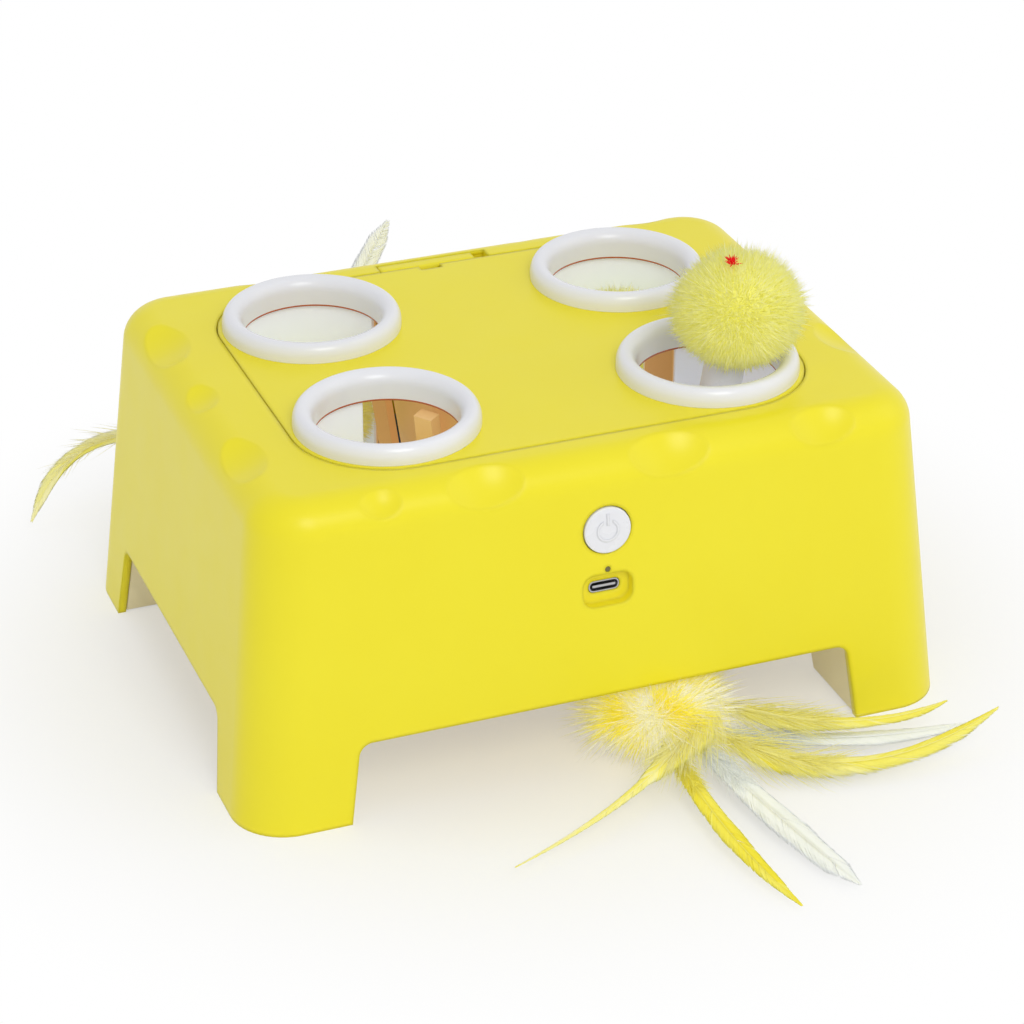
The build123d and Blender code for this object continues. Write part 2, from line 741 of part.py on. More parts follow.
def groove_section(angle, level):
    """Plane through the drum's axis at an angle, and the groove's corners there at a level."""
    turn = radians(angle)
    plane = Plane(origin=(0, 0, 0), x_dir=(cos(turn), sin(turn), 0), z_dir=(sin(turn), -cos(turn), 0))
    bottom = level - groove_width / 2
    top = level + groove_width / 2
    inside = drum_radius(level) - groove_depth
    outside = drum_radius(level) + groove_depth
    return plane, [(inside, bottom), (outside, bottom), (outside, top), (inside, top)]


with BuildPart() as cam_drum:
    with BuildSketch(Plane.XZ):
        with BuildLine():
            Polyline(
                (shaft_radius + running_gap, drum_bottom),
                (drum_radius(drum_bottom), drum_bottom),
                (drum_radius(drum_top), drum_top),
                (drum_radius(drum_top) - drum_wall, drum_top),
                (drum_radius(drum_bottom + drum_web) - drum_wall, drum_bottom + drum_web),
                (drum_hub_radius, drum_bottom + drum_web),
                (drum_hub_radius, drum_hub_top),
                (shaft_radius + running_gap, drum_hub_top),
                close=True,
            )
        make_face()
    revolve(axis=Axis.Z)
    for way in (-1, 1):
        for step in range(ramp_steps + 1):
            share = step / ramp_steps
            level = groove_high + (groove_low - groove_high) * share
            plane, corners_there = groove_section(peak_angle + way * ramp_half_angle * share, level)
            with BuildSketch(plane):
                with BuildLine():
                    Polyline(*corners_there, close=True)
                make_face()
        loft(ruled=True, mode=Mode.SUBTRACT)
    dwell_plane, dwell_corners = groove_section(peak_angle + ramp_half_angle, groove_low)
    with BuildSketch(dwell_plane):
        with BuildLine():
            Polyline(*dwell_corners, close=True)
        make_face()
    revolve(axis=Axis.Z, revolution_arc=360 - 2 * ramp_half_angle, mode=Mode.SUBTRACT)
cam_drum.part.label = "cam_drum"
export_step(cam_drum.part, "parts/cam_drum.step")

# Drum gear, on the shaft under the drum
with BuildPart() as drum_gear:
    with BuildSketch(Plane.XY.offset(high_gear_z)):
        with BuildLine():
            Polyline(*gear_outline(drum_teeth, -90), close=True)
        make_face()
    extrude(amount=gear_face)
    with BuildSketch(Plane.XY.offset(bush_top + rotor_gap)):
        Circle(drum_gear_hub_radius)
    extrude(amount=drum_bottom - bush_top - rotor_gap)
    with BuildSketch(Plane.XY.offset(bush_top)):
        Circle(shaft_radius + running_gap)
    extrude(amount=drum_bottom - bush_top, mode=Mode.SUBTRACT)
drum_gear.part.label = "drum_gear"
export_step(drum_gear.part, "parts/drum_gear.step")

# Main shaft and its flanged bush in the tray
with BuildPart() as main_shaft:
    with BuildSketch(Plane.XY.offset(shaft_bottom)):
        Circle(shaft_radius)
    extrude(amount=shaft_top - shaft_bottom)
    chamfer(main_shaft.faces().sort_by(Axis.Z)[-1].edges(), length=shaft_radius / 5)
main_shaft.part.label = "main_shaft"
export_step(main_shaft.part, "parts/main_shaft.step")

with BuildPart() as rotor_bush:
    with BuildSketch(Plane.XY.offset(bush_bottom)):
        Circle(bush_radius)
    extrude(amount=bush_top - bush_bottom)
    with BuildSketch(Plane.XY.offset(tray_top)):
        Circle(bush_flange_radius)
    extrude(amount=bush_flange_height)
    with BuildSketch(Plane.XY.offset(bush_bottom)):
        Circle(shaft_radius + running_gap)
    extrude(amount=bush_top - bush_bottom, mode=Mode.SUBTRACT)
rotor_bush.part.label = "rotor_bush"
export_step(rotor_bush.part, "parts/rotor_bush.step")

# Idler: two gears in one piece on a fixed axle, and the motor's pinion on its shaft
with BuildPart() as idler_axle:
    with BuildSketch(Plane.XY.offset(tray_bottom)):
        with Locations((0, idler_y)):
            Circle(idler_axle_radius - running_gap)
    extrude(amount=drum_bottom - fit_gap - tray_bottom)
idler_axle.part.label = "idler_axle"
export_step(idler_axle.part, "parts/idler_axle.step")

with BuildPart() as idler_gear:
    with BuildSketch(Plane((0, idler_y, low_gear_z))):
        with BuildLine():
            Polyline(*gear_outline(idler_big_teeth, -90), close=True)
        make_face()
    extrude(amount=gear_face)
    with BuildSketch(Plane.XY.offset(low_gear_z)):
        with Locations((0, idler_y)):
            Circle(gear_module * (idler_small_teeth / 2 - gear_dedendum))
    extrude(amount=gear_face + gear_level_gap)
    with BuildSketch(Plane((0, idler_y, high_gear_z))):
        with BuildLine():
            Polyline(*gear_outline(idler_small_teeth, 90 + 180 / idler_small_teeth), close=True)
        make_face()
    extrude(amount=gear_face)
    with BuildSketch(Plane.XY.offset(low_gear_z)):
        with Locations((0, idler_y)):
            Circle(idler_axle_radius)
    extrude(amount=2 * gear_face + gear_level_gap, mode=Mode.SUBTRACT)
idler_gear.part.label = "idler_gear"
export_step(idler_gear.part, "parts/idler_gear.step")

with BuildPart() as motor_pinion:
    with BuildSketch(Plane((0, pinion_y, low_gear_z))):
        with BuildLine():
            Polyline(*gear_outline(pinion_teeth, 90 + 180 / pinion_teeth), close=True)
        make_face()
    extrude(amount=gear_face)
    with BuildSketch(Plane.XY.offset(low_gear_z)):
        with Locations((0, pinion_y)):
            Circle(motor_shaft_radius)
    extrude(amount=motor_z + motor_shaft_reach - low_gear_z)
motor_pinion.part.label = "motor_pinion"
export_step(motor_pinion.part, "parts/motor_pinion.step")

# Gear motor and the bracket that holds it over the pinion
with BuildPart() as gear_motor:
    with BuildSketch(Plane.XY.offset(motor_z)):
        with Locations((0, pinion_y)):
            Rectangle(motor_width, motor_depth)
    extrude(amount=gearbox_height)
    with BuildSketch(Plane.XY.offset(motor_z + gearbox_height)):
        with Locations((0, pinion_y)):
            Circle(motor_width / 2)
            Rectangle(motor_width, motor_depth, mode=Mode.INTERSECT)
    extrude(amount=can_height)
    with BuildSketch(Plane.XY.offset(motor_z)):
        with Locations((0, pinion_y)):
            Circle(motor_shaft_radius + running_gap)
    extrude(amount=motor_shaft_reach + fit_gap, mode=Mode.SUBTRACT)
gear_motor.part.label = "gear_motor"
export_step(gear_motor.part, "parts/gear_motor.step")

bracket_width = 2 * (bracket_leg_inside + bracket_leg_thickness)
with BuildPart() as motor_bracket:
    with BuildSketch(Plane.XY.offset(tray_top)):
        with Locations((0, pinion_y - fit_gap)):
            Rectangle(bracket_width, bracket_length)
            Rectangle(2 * bracket_leg_inside, bracket_length, mode=Mode.SUBTRACT)
    extrude(amount=bracket_bottom - tray_top)
    with BuildSketch(Plane.XY.offset(bracket_bottom)):
        with Locations((0, pinion_y - fit_gap)):
            Rectangle(bracket_width, bracket_length)
        with Locations((0, pinion_y)):
            Circle(2 * motor_shaft_radius, mode=Mode.SUBTRACT)
    extrude(amount=bracket_plate)
    with BuildSketch(Plane.XY.offset(motor_z)):
        with Locations((0, pinion_y)):
            Rectangle(motor_width + 2 * (socket_gap + bracket_cheek), motor_depth)
            Rectangle(motor_width + 2 * socket_gap, motor_depth, mode=Mode.SUBTRACT)
    extrude(amount=bracket_cheek_height)
motor_bracket.part.label = "motor_bracket"
export_step(motor_bracket.part, "parts/motor_bracket.step")

# Circuit board behind the front wall, with the switch, light and charging socket on it
with BuildPart() as circuit_board:
    with BuildSketch(front_plane(board_centre, board_depth)):
        RectangleRounded(board_length, board_height, board_post_radius)
        with GridLocations(2 * board_post_x, 2 * board_post_y, 2, 2):
            Circle(board_screw_radius + screw_clearance, mode=Mode.SUBTRACT)
    extrude(amount=-board_thickness)
circuit_board.part.label = "circuit_board"
export_step(circuit_board.part, "parts/circuit_board.step")

with BuildPart() as board_screws:
    with BuildSketch(front_plane(board_centre, board_depth + board_thickness)):
        with GridLocations(2 * board_post_x, 2 * board_post_y, 2, 2):
            Circle(board_post_radius - fit_gap)
    extrude(amount=-board_thickness)
    with BuildSketch(front_plane(board_centre, board_depth + board_thickness)):
        with GridLocations(2 * board_post_x, 2 * board_post_y, 2, 2):
            Circle(board_screw_radius)
    extrude(amount=board_screw_length - fit_gap)
board_screws.part.label = "board_screws"
export_step(board_screws.part, "parts/board_screws.step")

switch_front = board_depth - switch_height
with BuildPart() as button_switch:
    with BuildSketch(front_plane(button_height, switch_front)):
        Rectangle(switch_size, switch_size)
    extrude(amount=-switch_height)
    with BuildSketch(front_plane(button_height, switch_front)):
        Circle(plunger_radius)
    extrude(amount=plunger_height)
button_switch.part.label = "button_switch"
export_step(button_switch.part, "parts/button_switch.step")

stem_end = switch_front - plunger_height - button_travel - button_rest_gap
flange_front = shell_wall + button_rest_gap / 2
with BuildPart() as power_button:
    with BuildSketch(front_plane(button_height, flange_front)):
        Circle(button_radius)
    extrude(amount=flange_front + button_proud)
    fillet(power_button.faces().sort_by(Axis.Y)[0].edges(), radius=button_proud * 0.8)
    with BuildSketch(front_plane(button_height, flange_front)):
        Circle(button_flange_radius)
    extrude(amount=-button_flange)
    with BuildSketch(front_plane(button_height, flange_front)):
        Circle(button_stem_radius)
    extrude(amount=-(stem_end - flange_front))
    with BuildSketch(front_plane(button_height, -button_proud)):
        Circle(symbol_radius)
        Circle(symbol_radius - symbol_stroke, mode=Mode.SUBTRACT)
        with Locations((0, symbol_radius)):
            Rectangle(4 * symbol_stroke, symbol_radius, mode=Mode.SUBTRACT)
            Rectangle(symbol_stroke, symbol_radius)
    extrude(amount=symbol_height)
power_button.part.label = "power_button"
export_step(power_button.part, "parts/power_button.step")

with BuildPart() as status_light:
    with BuildSketch(front_plane(light_height, light_gap)):
        Circle(light_radius - light_gap)
    extrude(amount=-(board_depth - light_gap))
    with BuildSketch(front_plane(light_height, board_depth)):
        Circle(light_flange_radius)
    extrude(amount=light_flange)
status_light.part.label = "status_light"
export_step(status_light.part, "parts/status_light.step")

socket_front = usb_pocket_depth + usb_gap
with BuildPart() as usb_socket:
    with BuildSketch(front_plane(usb_height, socket_front)):
        RectangleRounded(usb_length, usb_thickness, 0.45 * usb_thickness)
    extrude(amount=-(board_depth - socket_front))
    with BuildSketch(front_plane(usb_height, socket_front)):
        inner_thickness = usb_thickness - 2 * usb_wall
        RectangleRounded(usb_length - 2 * usb_wall, inner_thickness, 0.45 * inner_thickness)
        Rectangle(usb_tongue_length, usb_tongue_thickness, mode=Mode.SUBTRACT)
    extrude(amount=-usb_depth, mode=Mode.SUBTRACT)
usb_socket.part.label = "usb_socket"
export_step(usb_socket.part, "parts/usb_socket.step")

# Battery cell in its cradle at the back
with BuildPart() as battery_cell:
    with BuildSketch(Plane.YZ.offset(-cell_length / 2)):
        with Locations((cell_y, cell_z)):
            Circle(cell_radius)
    extrude(amount=cell_length)
    fillet(battery_cell.edges(), radius=cell_radius / 10)
    with BuildSketch(Plane.YZ.offset(cell_length / 2)):
        with Locations((cell_y, cell_z)):
            Circle(cell_nub_radius)
    extrude(amount=cell_nub)
battery_cell.part.label = "battery_cell"
export_step(battery_cell.part, "parts/battery_cell.step")

with BuildPart() as battery_cradle:
    with BuildSketch(Plane.YZ.offset(-cradle_length / 2)):
        cradle_width = 2 * (cell_radius + fit_gap + cradle_wall)
        with Locations((cell_y, tray_top + cradle_height / 2)):
            Rectangle(cradle_width, cradle_height)
        with Locations((cell_y, cell_z)):
            Circle(cell_radius + fit_gap, mode=Mode.SUBTRACT)
    extrude(amount=cradle_length)
battery_cradle.part.label = "battery_cradle"
export_step(battery_cradle.part, "parts/battery_cradle.step")

# Leads: the cell's lead round the left side to the board, and the motor's lead to the board
board_back = front_plane(board_centre, board_depth + board_thickness)


def lead_along(points):
    """Round lead along straight runs joined by arcs."""
    with BuildPart() as lead:
        with BuildLine() as route:
            FilletPolyline(*points, radius=lead_bend)
        with BuildSketch(Plane(origin=route.line @ 0, z_dir=route.line % 0)):
            Circle(lead_radius)
        sweep()
    return lead.part


cell_lead_route = [
    (-cell_length / 2, cell_y, cell_z),
    (-66, cell_y, cell_z),
    (-78, 44, tray_top + 4),
    (-79, 0, tray_top + 3),
    (-78, -44, tray_top + 4),
    (-60, -62.5, 38),
    (-38, -58, 45),
    board_back.from_local_coords((-20, -10, -16)),
    board_back.from_local_coords((-14, -10, -9)),
    board_back.from_local_coords((-14, -10, 0)),
]
with BuildPart() as battery_lead:
    add(lead_along(cell_lead_route))
battery_lead.part.label = "battery_lead"
export_step(battery_lead.part, "parts/battery_lead.step")

motor_top = motor_z + gearbox_height + can_height
motor_lead_end = board_back.from_local_coords((0, 8, 0))
motor_lead_reach = (pinion_y - motor_lead_end.Y) / cos(atan(side_lean))
motor_lead_route = [
    (0, pinion_y, motor_top),
    board_back.from_local_coords((0, 8, -motor_lead_reach)),
    motor_lead_end,
]
with BuildPart() as motor_lead:
    add(lead_along(motor_lead_route))
motor_lead.part.label = "motor_lead"
export_step(motor_lead.part, "parts/motor_lead.step")

# Feather hub under the tray, and the screw that holds it on the shaft
with BuildPart() as feather_hub:
    with BuildSketch(Plane.XY.offset(hub_bottom)):
        Circle(hub_radius)
    extrude(amount=hub_height)
    fillet(feather_hub.edges(), radius=hub_height / 6)
    with BuildSketch(Plane.XY.offset(shaft_bottom)):
        Circle(shaft_radius + running_gap)
    extrude(amount=hub_height, mode=Mode.SUBTRACT)
    with BuildSketch(Plane.XY.offset(hub_bottom)):
        Circle(hub_screw_radius + screw_clearance)
    extrude(amount=shaft_inset, mode=Mode.SUBTRACT)
    wand_plane = Plane(
        origin=(0, 0, wand_height),
        x_dir=(0, 0, 1),
        z_dir=(cos(radians(lure_angle)), sin(radians(lure_angle)), 0),
    )
    for way in (1, -1):
        with BuildSketch(wand_plane.offset(way * wand_start)):
            Circle(wand_radius + running_gap)
        extrude(amount=way * hub_radius, mode=Mode.SUBTRACT)
feather_hub.part.label = "feather_hub"
export_step(feather_hub.part, "parts/feather_hub.step")

with BuildPart() as hub_screw:
    with BuildSketch(Plane.XY.offset(hub_bottom)):
        Circle(hub_screw_head_radius)
    extrude(amount=-hub_screw_head_height)
    fillet(hub_screw.edges().group_by(Axis.Z)[0], radius=0.45 * hub_screw_head_height)
    with BuildSketch(Plane.XY.offset(hub_bottom)):
        Circle(hub_screw_radius)
    extrude(amount=shaft_inset)
hub_screw.part.label = "hub_screw"
export_step(hub_screw.part, "parts/hub_screw.step")


def feather_vane(middle, root, bend, tip, width, roll=0.0):
    """Thin leaf-shaped vane along a curve from the root to the tip, pulled towards the bend point."""
    root, bend, tip = (middle + Vector(*point) for point in (root, bend, tip))
    with BuildPart() as vane:
        for share in feather_stations:
            back = 1 - share
            place = root * back**2 + bend * (2 * share * back) + tip * share**2
            ahead = ((bend - root) * back + (tip - bend) * share).normalized()
            across = ahead.cross(Vector(0, 0, 1)).rotate(Axis((0, 0, 0), tuple(ahead)), roll)
            chord = feather_tip + (width - feather_tip) * sin(pi * (0.08 + 0.9 * share)) ** 0.7
            with BuildSketch(Plane(origin=place, x_dir=across, z_dir=ahead)):
                Rectangle(chord, quill_thickness)
        loft(ruled=True)
    return vane.part


# Lures: the front one as it lies, and the back one opposite. Each feather's root, bend and tip are
# measured from the middle of its fluff, at the floor, and its width and roll come after them.
lures = {
    "front": (
        lure_angle,
        {
            "yellow": [
                ((16, -4, 17), (-5, -31, 7.5), (-62, -49.5, 4), 9.0, 0),
                ((-1, -12, 8), (-6.5, -52, 6.5), (3, -91.5, 3), 9.0, 10),
                ((11, -12, 9), (39.5, -49, -1), (90, -36.5, 13), 11.0, 0),
                ((16, -4, 12), (50, -29, 6), (80.5, -23.5, 9.5), 9.0, 0),
            ],
            "white": [
                ((7, -14, 7), (12, -47.5, 5), (21.5, -88.5, 3), 12.0, 0),
                ((14, -10, 6), (49.5, -29.5, 4.5), (84, -30, 5), 9.0, 0),
            ],
        },
    ),
    "back": (
        lure_angle + 180,
        {
            "yellow": [((-9, 8, 12), (-75, 66, 44), (-102, 38, 4), 15.0, 0)],
            "white": [((4, 13, 13), (-8, 50, 20), (28, 63, 78.4), 14.0, 45)],
        },
    ),
}
for place, (angle, bunches) in lures.items():
    turn = radians(angle)
    out = Plane(origin=(0, 0, wand_height), x_dir=(0, 0, 1), z_dir=(cos(turn), sin(turn), 0))
    sleeve_start = lure_reach - sleeve_length
    wand_end = sleeve_start + sleeve_overlap
    with BuildPart() as lure_wand:
        with BuildSketch(out.offset(wand_start)):
            Circle(wand_radius)
        extrude(amount=wand_end - wand_start)
    lure_wand.part.label = f"lure_wand_{place}"
    export_step(lure_wand.part, f"parts/lure_wand_{place}.step")

    with BuildPart() as lure_sleeve:
        with BuildSketch(out.offset(sleeve_start)):
            Circle(sleeve_radius)
        extrude(amount=sleeve_length)
        with BuildSketch(out.offset(sleeve_start)):
            Circle(wand_radius + running_gap)
        extrude(amount=sleeve_overlap, mode=Mode.SUBTRACT)
    lure_sleeve.part.label = f"lure_sleeve_{place}"
    export_step(lure_sleeve.part, f"parts/lure_sleeve_{place}.step")

    fluff_x = lure_reach * cos(turn)
    fluff_y = lure_reach * sin(turn)
    with BuildPart() as lure_fluff:
        with BuildSketch(Plane((fluff_x, fluff_y, fluff_height - fluff_half_height))):
            Circle(fluff_radius)
        extrude(amount=2 * fluff_half_height)
        fillet(lure_fluff.edges().filter_by(GeomType.CIRCLE), radius=0.96 * fluff_half_height)
        with BuildSketch(out.offset(sleeve_start - fluff_radius)):
            Circle(sleeve_radius + socket_gap)
        extrude(amount=sleeve_length + fluff_radius, mode=Mode.SUBTRACT)
    lure_fluff.part.label = f"lure_fluff_{place}"
    export_step(lure_fluff.part, f"parts/lure_fluff_{place}.step")

    for colour, vanes in bunches.items():
        with BuildPart() as feathers:
            for root, bend, tip, width, roll in vanes:
                add(feather_vane(Vector(fluff_x, fluff_y, 0), root, bend, tip, width, roll))
        feathers.part.label = f"feathers_{place}_{colour}"
        export_step(feathers.part, f"parts/feathers_{place}_{colour}.step")
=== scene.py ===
"""Looks of the automatic cat toy: moulded yellow box, white rings, fluffy balls and feather lures."""
import json
from math import cos, pi, sin

import bpy
import numpy as np
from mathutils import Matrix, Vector


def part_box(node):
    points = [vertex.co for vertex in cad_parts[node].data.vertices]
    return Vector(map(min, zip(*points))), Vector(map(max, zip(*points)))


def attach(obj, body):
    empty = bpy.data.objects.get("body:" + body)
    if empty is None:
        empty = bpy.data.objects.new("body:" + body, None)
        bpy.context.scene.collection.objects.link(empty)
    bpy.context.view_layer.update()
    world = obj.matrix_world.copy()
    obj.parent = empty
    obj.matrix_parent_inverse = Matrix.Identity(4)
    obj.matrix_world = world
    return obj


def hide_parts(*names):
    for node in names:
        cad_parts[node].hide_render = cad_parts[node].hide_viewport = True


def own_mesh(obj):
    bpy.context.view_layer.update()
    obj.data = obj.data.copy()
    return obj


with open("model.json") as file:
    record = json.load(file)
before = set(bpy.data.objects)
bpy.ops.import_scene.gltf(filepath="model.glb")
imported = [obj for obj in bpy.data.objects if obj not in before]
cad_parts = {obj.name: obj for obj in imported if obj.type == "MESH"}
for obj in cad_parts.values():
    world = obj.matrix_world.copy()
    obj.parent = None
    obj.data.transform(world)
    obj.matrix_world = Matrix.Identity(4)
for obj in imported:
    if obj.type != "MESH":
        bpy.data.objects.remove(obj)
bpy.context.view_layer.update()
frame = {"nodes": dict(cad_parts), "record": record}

MM = 0.001
CORNERS = ("front_left", "front_right", "back_left", "back_right")

# Camera, in metres, with its lens and sensor in millimetres
camera_place = Vector((-0.3024, -0.7900, 0.5027))
camera_target = Vector((0.0013, -0.0005, 0.0409))
camera_lens = 115.1
camera_sensor = 36.0

# Lamps: place and size in metres, power in watts, and the point that each is aimed at
toy_middle = Vector((0, 0, 0.05))
lamps = {
    "key_lamp": (Vector((-0.06, -1.05, 0.98)), 0.6, 5.0, toy_middle),
    "side_lamp": (Vector((0.9, -0.35, 0.8)), 0.9, 1.0, toy_middle),
    "inside_lamp": (Vector((0.0, -0.040, 0.085)), 0.012, 0.007, Vector((0, -0.030, 0.0))),
}
surround_light = 0.68                # light from the white surround, which is seen as 1

# Floor, in metres from the toy's middle
floor_half = 3.0
shadow_from, shadow_to = 0.09, 0.21  # the shadow fades to white between these
warm_from, warm_to = 0.05, 0.12      # and the painted warm shade and bounce light of the toy fade between these
shadow_veil = 0.40                   # share of white over the shadow

# Plastic and metal: noises have a scale per metre and a detail, and depths are in metres
cloud_noise = (30.0, 3.0)
grain_noise = (1400.0, 2.0)
grain_strength, grain_depth = 0.05, 0.0002
gloss_noise = (90.0, 4.0)
gloss_change = 0.12                  # plastic's roughness varies this much
edge_samples = 6
metal_roughness = 0.25
line_noise = (2500.0, 3.0)           # drawn lines on metal
line_stretch = 0.03                  # along Z
line_strength, line_depth = 0.08, 0.0001
line_gloss = 0.15                    # they add this much roughness at most
line_shade = 0.8                     # and the darkest has this share of the metal's colour

# Parts of a piece with a colour of their own, and the legs' painted bounce light, in metres
hole_middle = (0.0479, 0.0333, 0.0)  # without signs, so it stands for all four holes
well_inside = 0.0228                 # a well is tan further than this from its hole's middle
collar_end = 0.0923                  # a ring is reddish below this
leg_top = 0.026                      # the tray's legs get painted warm bounce light below this

# Strands of all kinds
thread_widths = (0.8, 1.2)           # widths vary between these shares

# Fluffy balls, millimetres
ball_radius = 17.0
ball_strands = 18500
ball_clumps = 420
ball_root = 0.62                     # strands start at this share of the radius
ball_reach = 1.13                    # and end near this share
ball_shape = np.array([1.0, 1.0, 0.95])   # slightly flat
ball_tint = (0.5, 0.2)               # middle and spread
clump_lengths = (0.95, 1.04)
clump_hold = 0.9                     # tips keep this share of the way that roots stand off the clump
clump_tint, clump_step = 0.15, 0.05  # tint that each step of a clump's length adds
root_scatter = 0.10
tip_scatter = 0.06
strand_lengths = (0.86, 1.02)
strand_shares = np.array([0.0, 0.6, 1.0])
strand_halves = np.array([0.15, 0.13, 0.0])
strand_curl = 0.7
under_from, under_trim = 0.1, 0.18   # strands that point further down than this lose up to this share
wisp_share = 0.03
wisp_lengths = (1.03, 1.08)
ball_fullness = {"front_right": np.array([1.4, 0.2, 0.6])}   # the raised ball's fluff stands out this far
raised_spread = 1.05                 # and its strands are this much longer
core_share = 0.86                    # radius of the woolly core
core_rows, core_columns = 14, 28
core_change = (0.97, 1.03)
core_tint = (0.2, 0.5)

# Red tie on each ball, millimetres
tie_direction = np.array([-0.19, -0.11, 0.97])
tie_strands = 60
tie_share = 0.98                     # the knot's place, as a share of the radius
tie_scatter = 0.5
tie_lengths = (1.6, 3.2)
tie_halves = np.array([0.20, 0.20, 0.16, 0.0])

# Feathers, millimetres: root, bend and tip of the quill's curve, widths from near the root to near the
# tip, depth of colour from 0 to 1, roll in degrees, and the share at the root with loose barbs
feathers = {
    "feathers_front_yellow": [
        ((33, -76, 17), (12, -103, 7.5), (-45, -121.5, 4), (14.0, 3.6, 1.8), 0.35, 0, 0.4),
        ((16, -84, 8), (10.5, -124, 6.5), (20, -163.5, 3), (4.5, 6.2, 4.0), 0.8, 10, 0.3),
        ((28, -84, 9), (56.5, -121, -1), (107, -108.5, 13), (13.0, 8.4, 6.0), 0.5, 0, 0.4),
        ((33, -76, 12), (67, -101, 6), (97.5, -95.5, 9.5), (11.0, 5.6, 4.0), 0.5, 0, 0.4),
    ],
    "feathers_front_white": [
        ((24, -86, 7), (29, -119.5, 5), (38.5, -160.5, 3), (7.0, 10.5, 8.0), 0.5, 0, 0.3),
        ((31, -82, 6), (66.5, -101.5, 4.5), (101, -102, 5), (6.0, 8.0, 5.0), 0.5, 0, 0.3),
    ],
    "feathers_back_yellow": [
        ((-26, 80, 12), (-92, 138, 44), (-119, 110, 4), (10.0, 10.0, 7.0), 0.12, 0, 0.75),
    ],
    "feathers_back_white": [
        ((-13, 85, 13), (-33, 122, 20), (11, 135, 78.4), (9.0, 10.0, 7.6, 6.6), 0.2, -20, 0.2),
    ],
}
feather_seed = 40
width_shares = (0.12, 0.5, 0.78, 0.92)   # where along the quill the widths are
end_widths = (0.6, 0.3)              # width at the very root and at the very tip
standing_share = 0.7                 # a feather that rises by more than this share stands
quill_points = 20
quill_halves = np.linspace(0.45, 0.1, quill_points)
quill_tint = 0.6                     # share of the feather's own depth of colour
tone_change = 0.08

# Barbs of the vane, millimetres
barbs_each_side = 620
barb_span = (0.08, 0.99)             # shares of the quill
barb_lengths = (0.96, 1.02)
barb_halves = np.array([0.22, 0.23, 0.22, 0.17, 0.0])
barb_widths = (0.85, 1.2)
barb_flatness = 0.25
barb_steps = np.linspace(0, 1, len(barb_halves))[None, :, None]
lock_splits = 14                     # gaps between the locks of one side
lock_lengths = (0.94, 1.03)
lock_tint = 0.14
sweep_root, sweep_more = 1.5, 1.3    # barbs lean forward by their length times these, at the root and on
sweep_left, sweep_least = 0.5, 0.3   # and at most by this share of the quill that is left, and a little
sweep_late = 0.4                     # share of the lean that comes late
barb_bulge = 0.15
barb_droop = 0.2
barb_scatter = 0.05

# Loose barbs at a feather's root, millimetres
plume_barbs = 420
plume_spread = (0.3, 1.0)
plume_lean = 1.1
plume_scatter = 0.22
plume_longer = 3.0                   # longer than the vane is wide there
plume_lengths = (0.5, 1.3)
plume_taper = 0.5
plume_curl = 0.5
plume_wander = 0.8
plume_halves = np.array([0.10, 0.10, 0.08, 0.06, 0.0])
plume_tint = -0.2

# Room for the lures under the box, millimetres
box_half = (108.0, 83.0)
tray_underside = 23.0
floor_gap = 0.4

# Down at the lures, millimetres
down_lures = {"front": (0.0, 70), "back": (pi, 71)}   # turn and seed
down_plumes = 150
down_lengths = (0.85, 1.08)
down_root = 0.25                     # plumes start at this share of the bunch
patch_turns, patch_rise, patch_start = 4.6, 2.5, 1.1   # patches of colour round the bunch
patch_change = 0.12
down_hairs = 76                      # in each plume
hair_starts = (0.0, 0.5)             # shares of the plume
hair_lengths = (0.5, 0.95)
hair_fan = 0.55
hair_curl = 0.25
hair_wander = 0.6
hair_halves = np.array([0.12, 0.11, 0.08, 0.0])
hair_tint = 0.1


def srgb(red, green, blue):
    """A screen colour, 0 to 255, as the linear colour that a shader takes."""
    shares = np.array([red, green, blue]) / 255
    linear = np.where(shares <= 0.04045, shares / 12.92, ((shares + 0.055) / 1.055) ** 2.4)
    return (*linear.tolist(), 1.0)


class Shade:
    """A socket of a material. Sums on it add Math nodes, and node() adds any other node."""

    def __init__(self, tree, socket=None):
        self.tree = tree
        self.socket = socket

    def node(self, kind, sockets=None, output=0, stops=None, **settings):
        made = self.tree.nodes.new(kind)
        for setting, value in settings.items():
            setattr(made, setting, value)
        if stops:
            while len(made.color_ramp.elements) < len(stops):
                made.color_ramp.elements.new(0.5)
            for element, (position, colour) in zip(made.color_ramp.elements, stops):
                element.position = position
                element.color = colour
        for name, value in (sockets or {}).items():
            if isinstance(value, Shade):
                self.tree.links.new(value.socket, made.inputs[name])
            else:
                made.inputs[name].default_value = value
        return Shade(self.tree, made.outputs[output] if made.outputs else None)

    def sum(self, operation, first, second):
        return self.node("ShaderNodeMath", {0: first, 1: second}, operation=operation)

    def __add__(self, other):
        return self.sum("ADD", self, other)

    def __radd__(self, other):
        return self.sum("ADD", other, self)

    def __sub__(self, other):
        return self.sum("SUBTRACT", self, other)

    def __rsub__(self, other):
        return self.sum("SUBTRACT", other, self)

    def __mul__(self, other):
        return self.sum("MULTIPLY", self, other)

    def __rmul__(self, other):
        return self.sum("MULTIPLY", other, self)

    def __gt__(self, other):
        return self.sum("GREATER_THAN", self, other)

    def __lt__(self, other):
        return self.sum("LESS_THAN", self, other)

    def noise(self, scale, detail):
        """Noise over the place that this socket gives."""
        return self.node("ShaderNodeTexNoise", {"Vector": self, "Scale": scale, "Detail": detail})

    def mix(self, first, second):
        """From the first colour to the second, by this value."""
        return self.node("ShaderNodeMix", {0: self, 6: first, 7: second}, 2, data_type="RGBA")


def new_material(name):
    made = bpy.data.materials.new(name)
    made.use_nodes = True
    made.node_tree.nodes.clear()
    return made, Shade(made.node_tree)


def finish_material(shade, surface):
    shade.node("ShaderNodeOutputMaterial", {"Surface": surface})


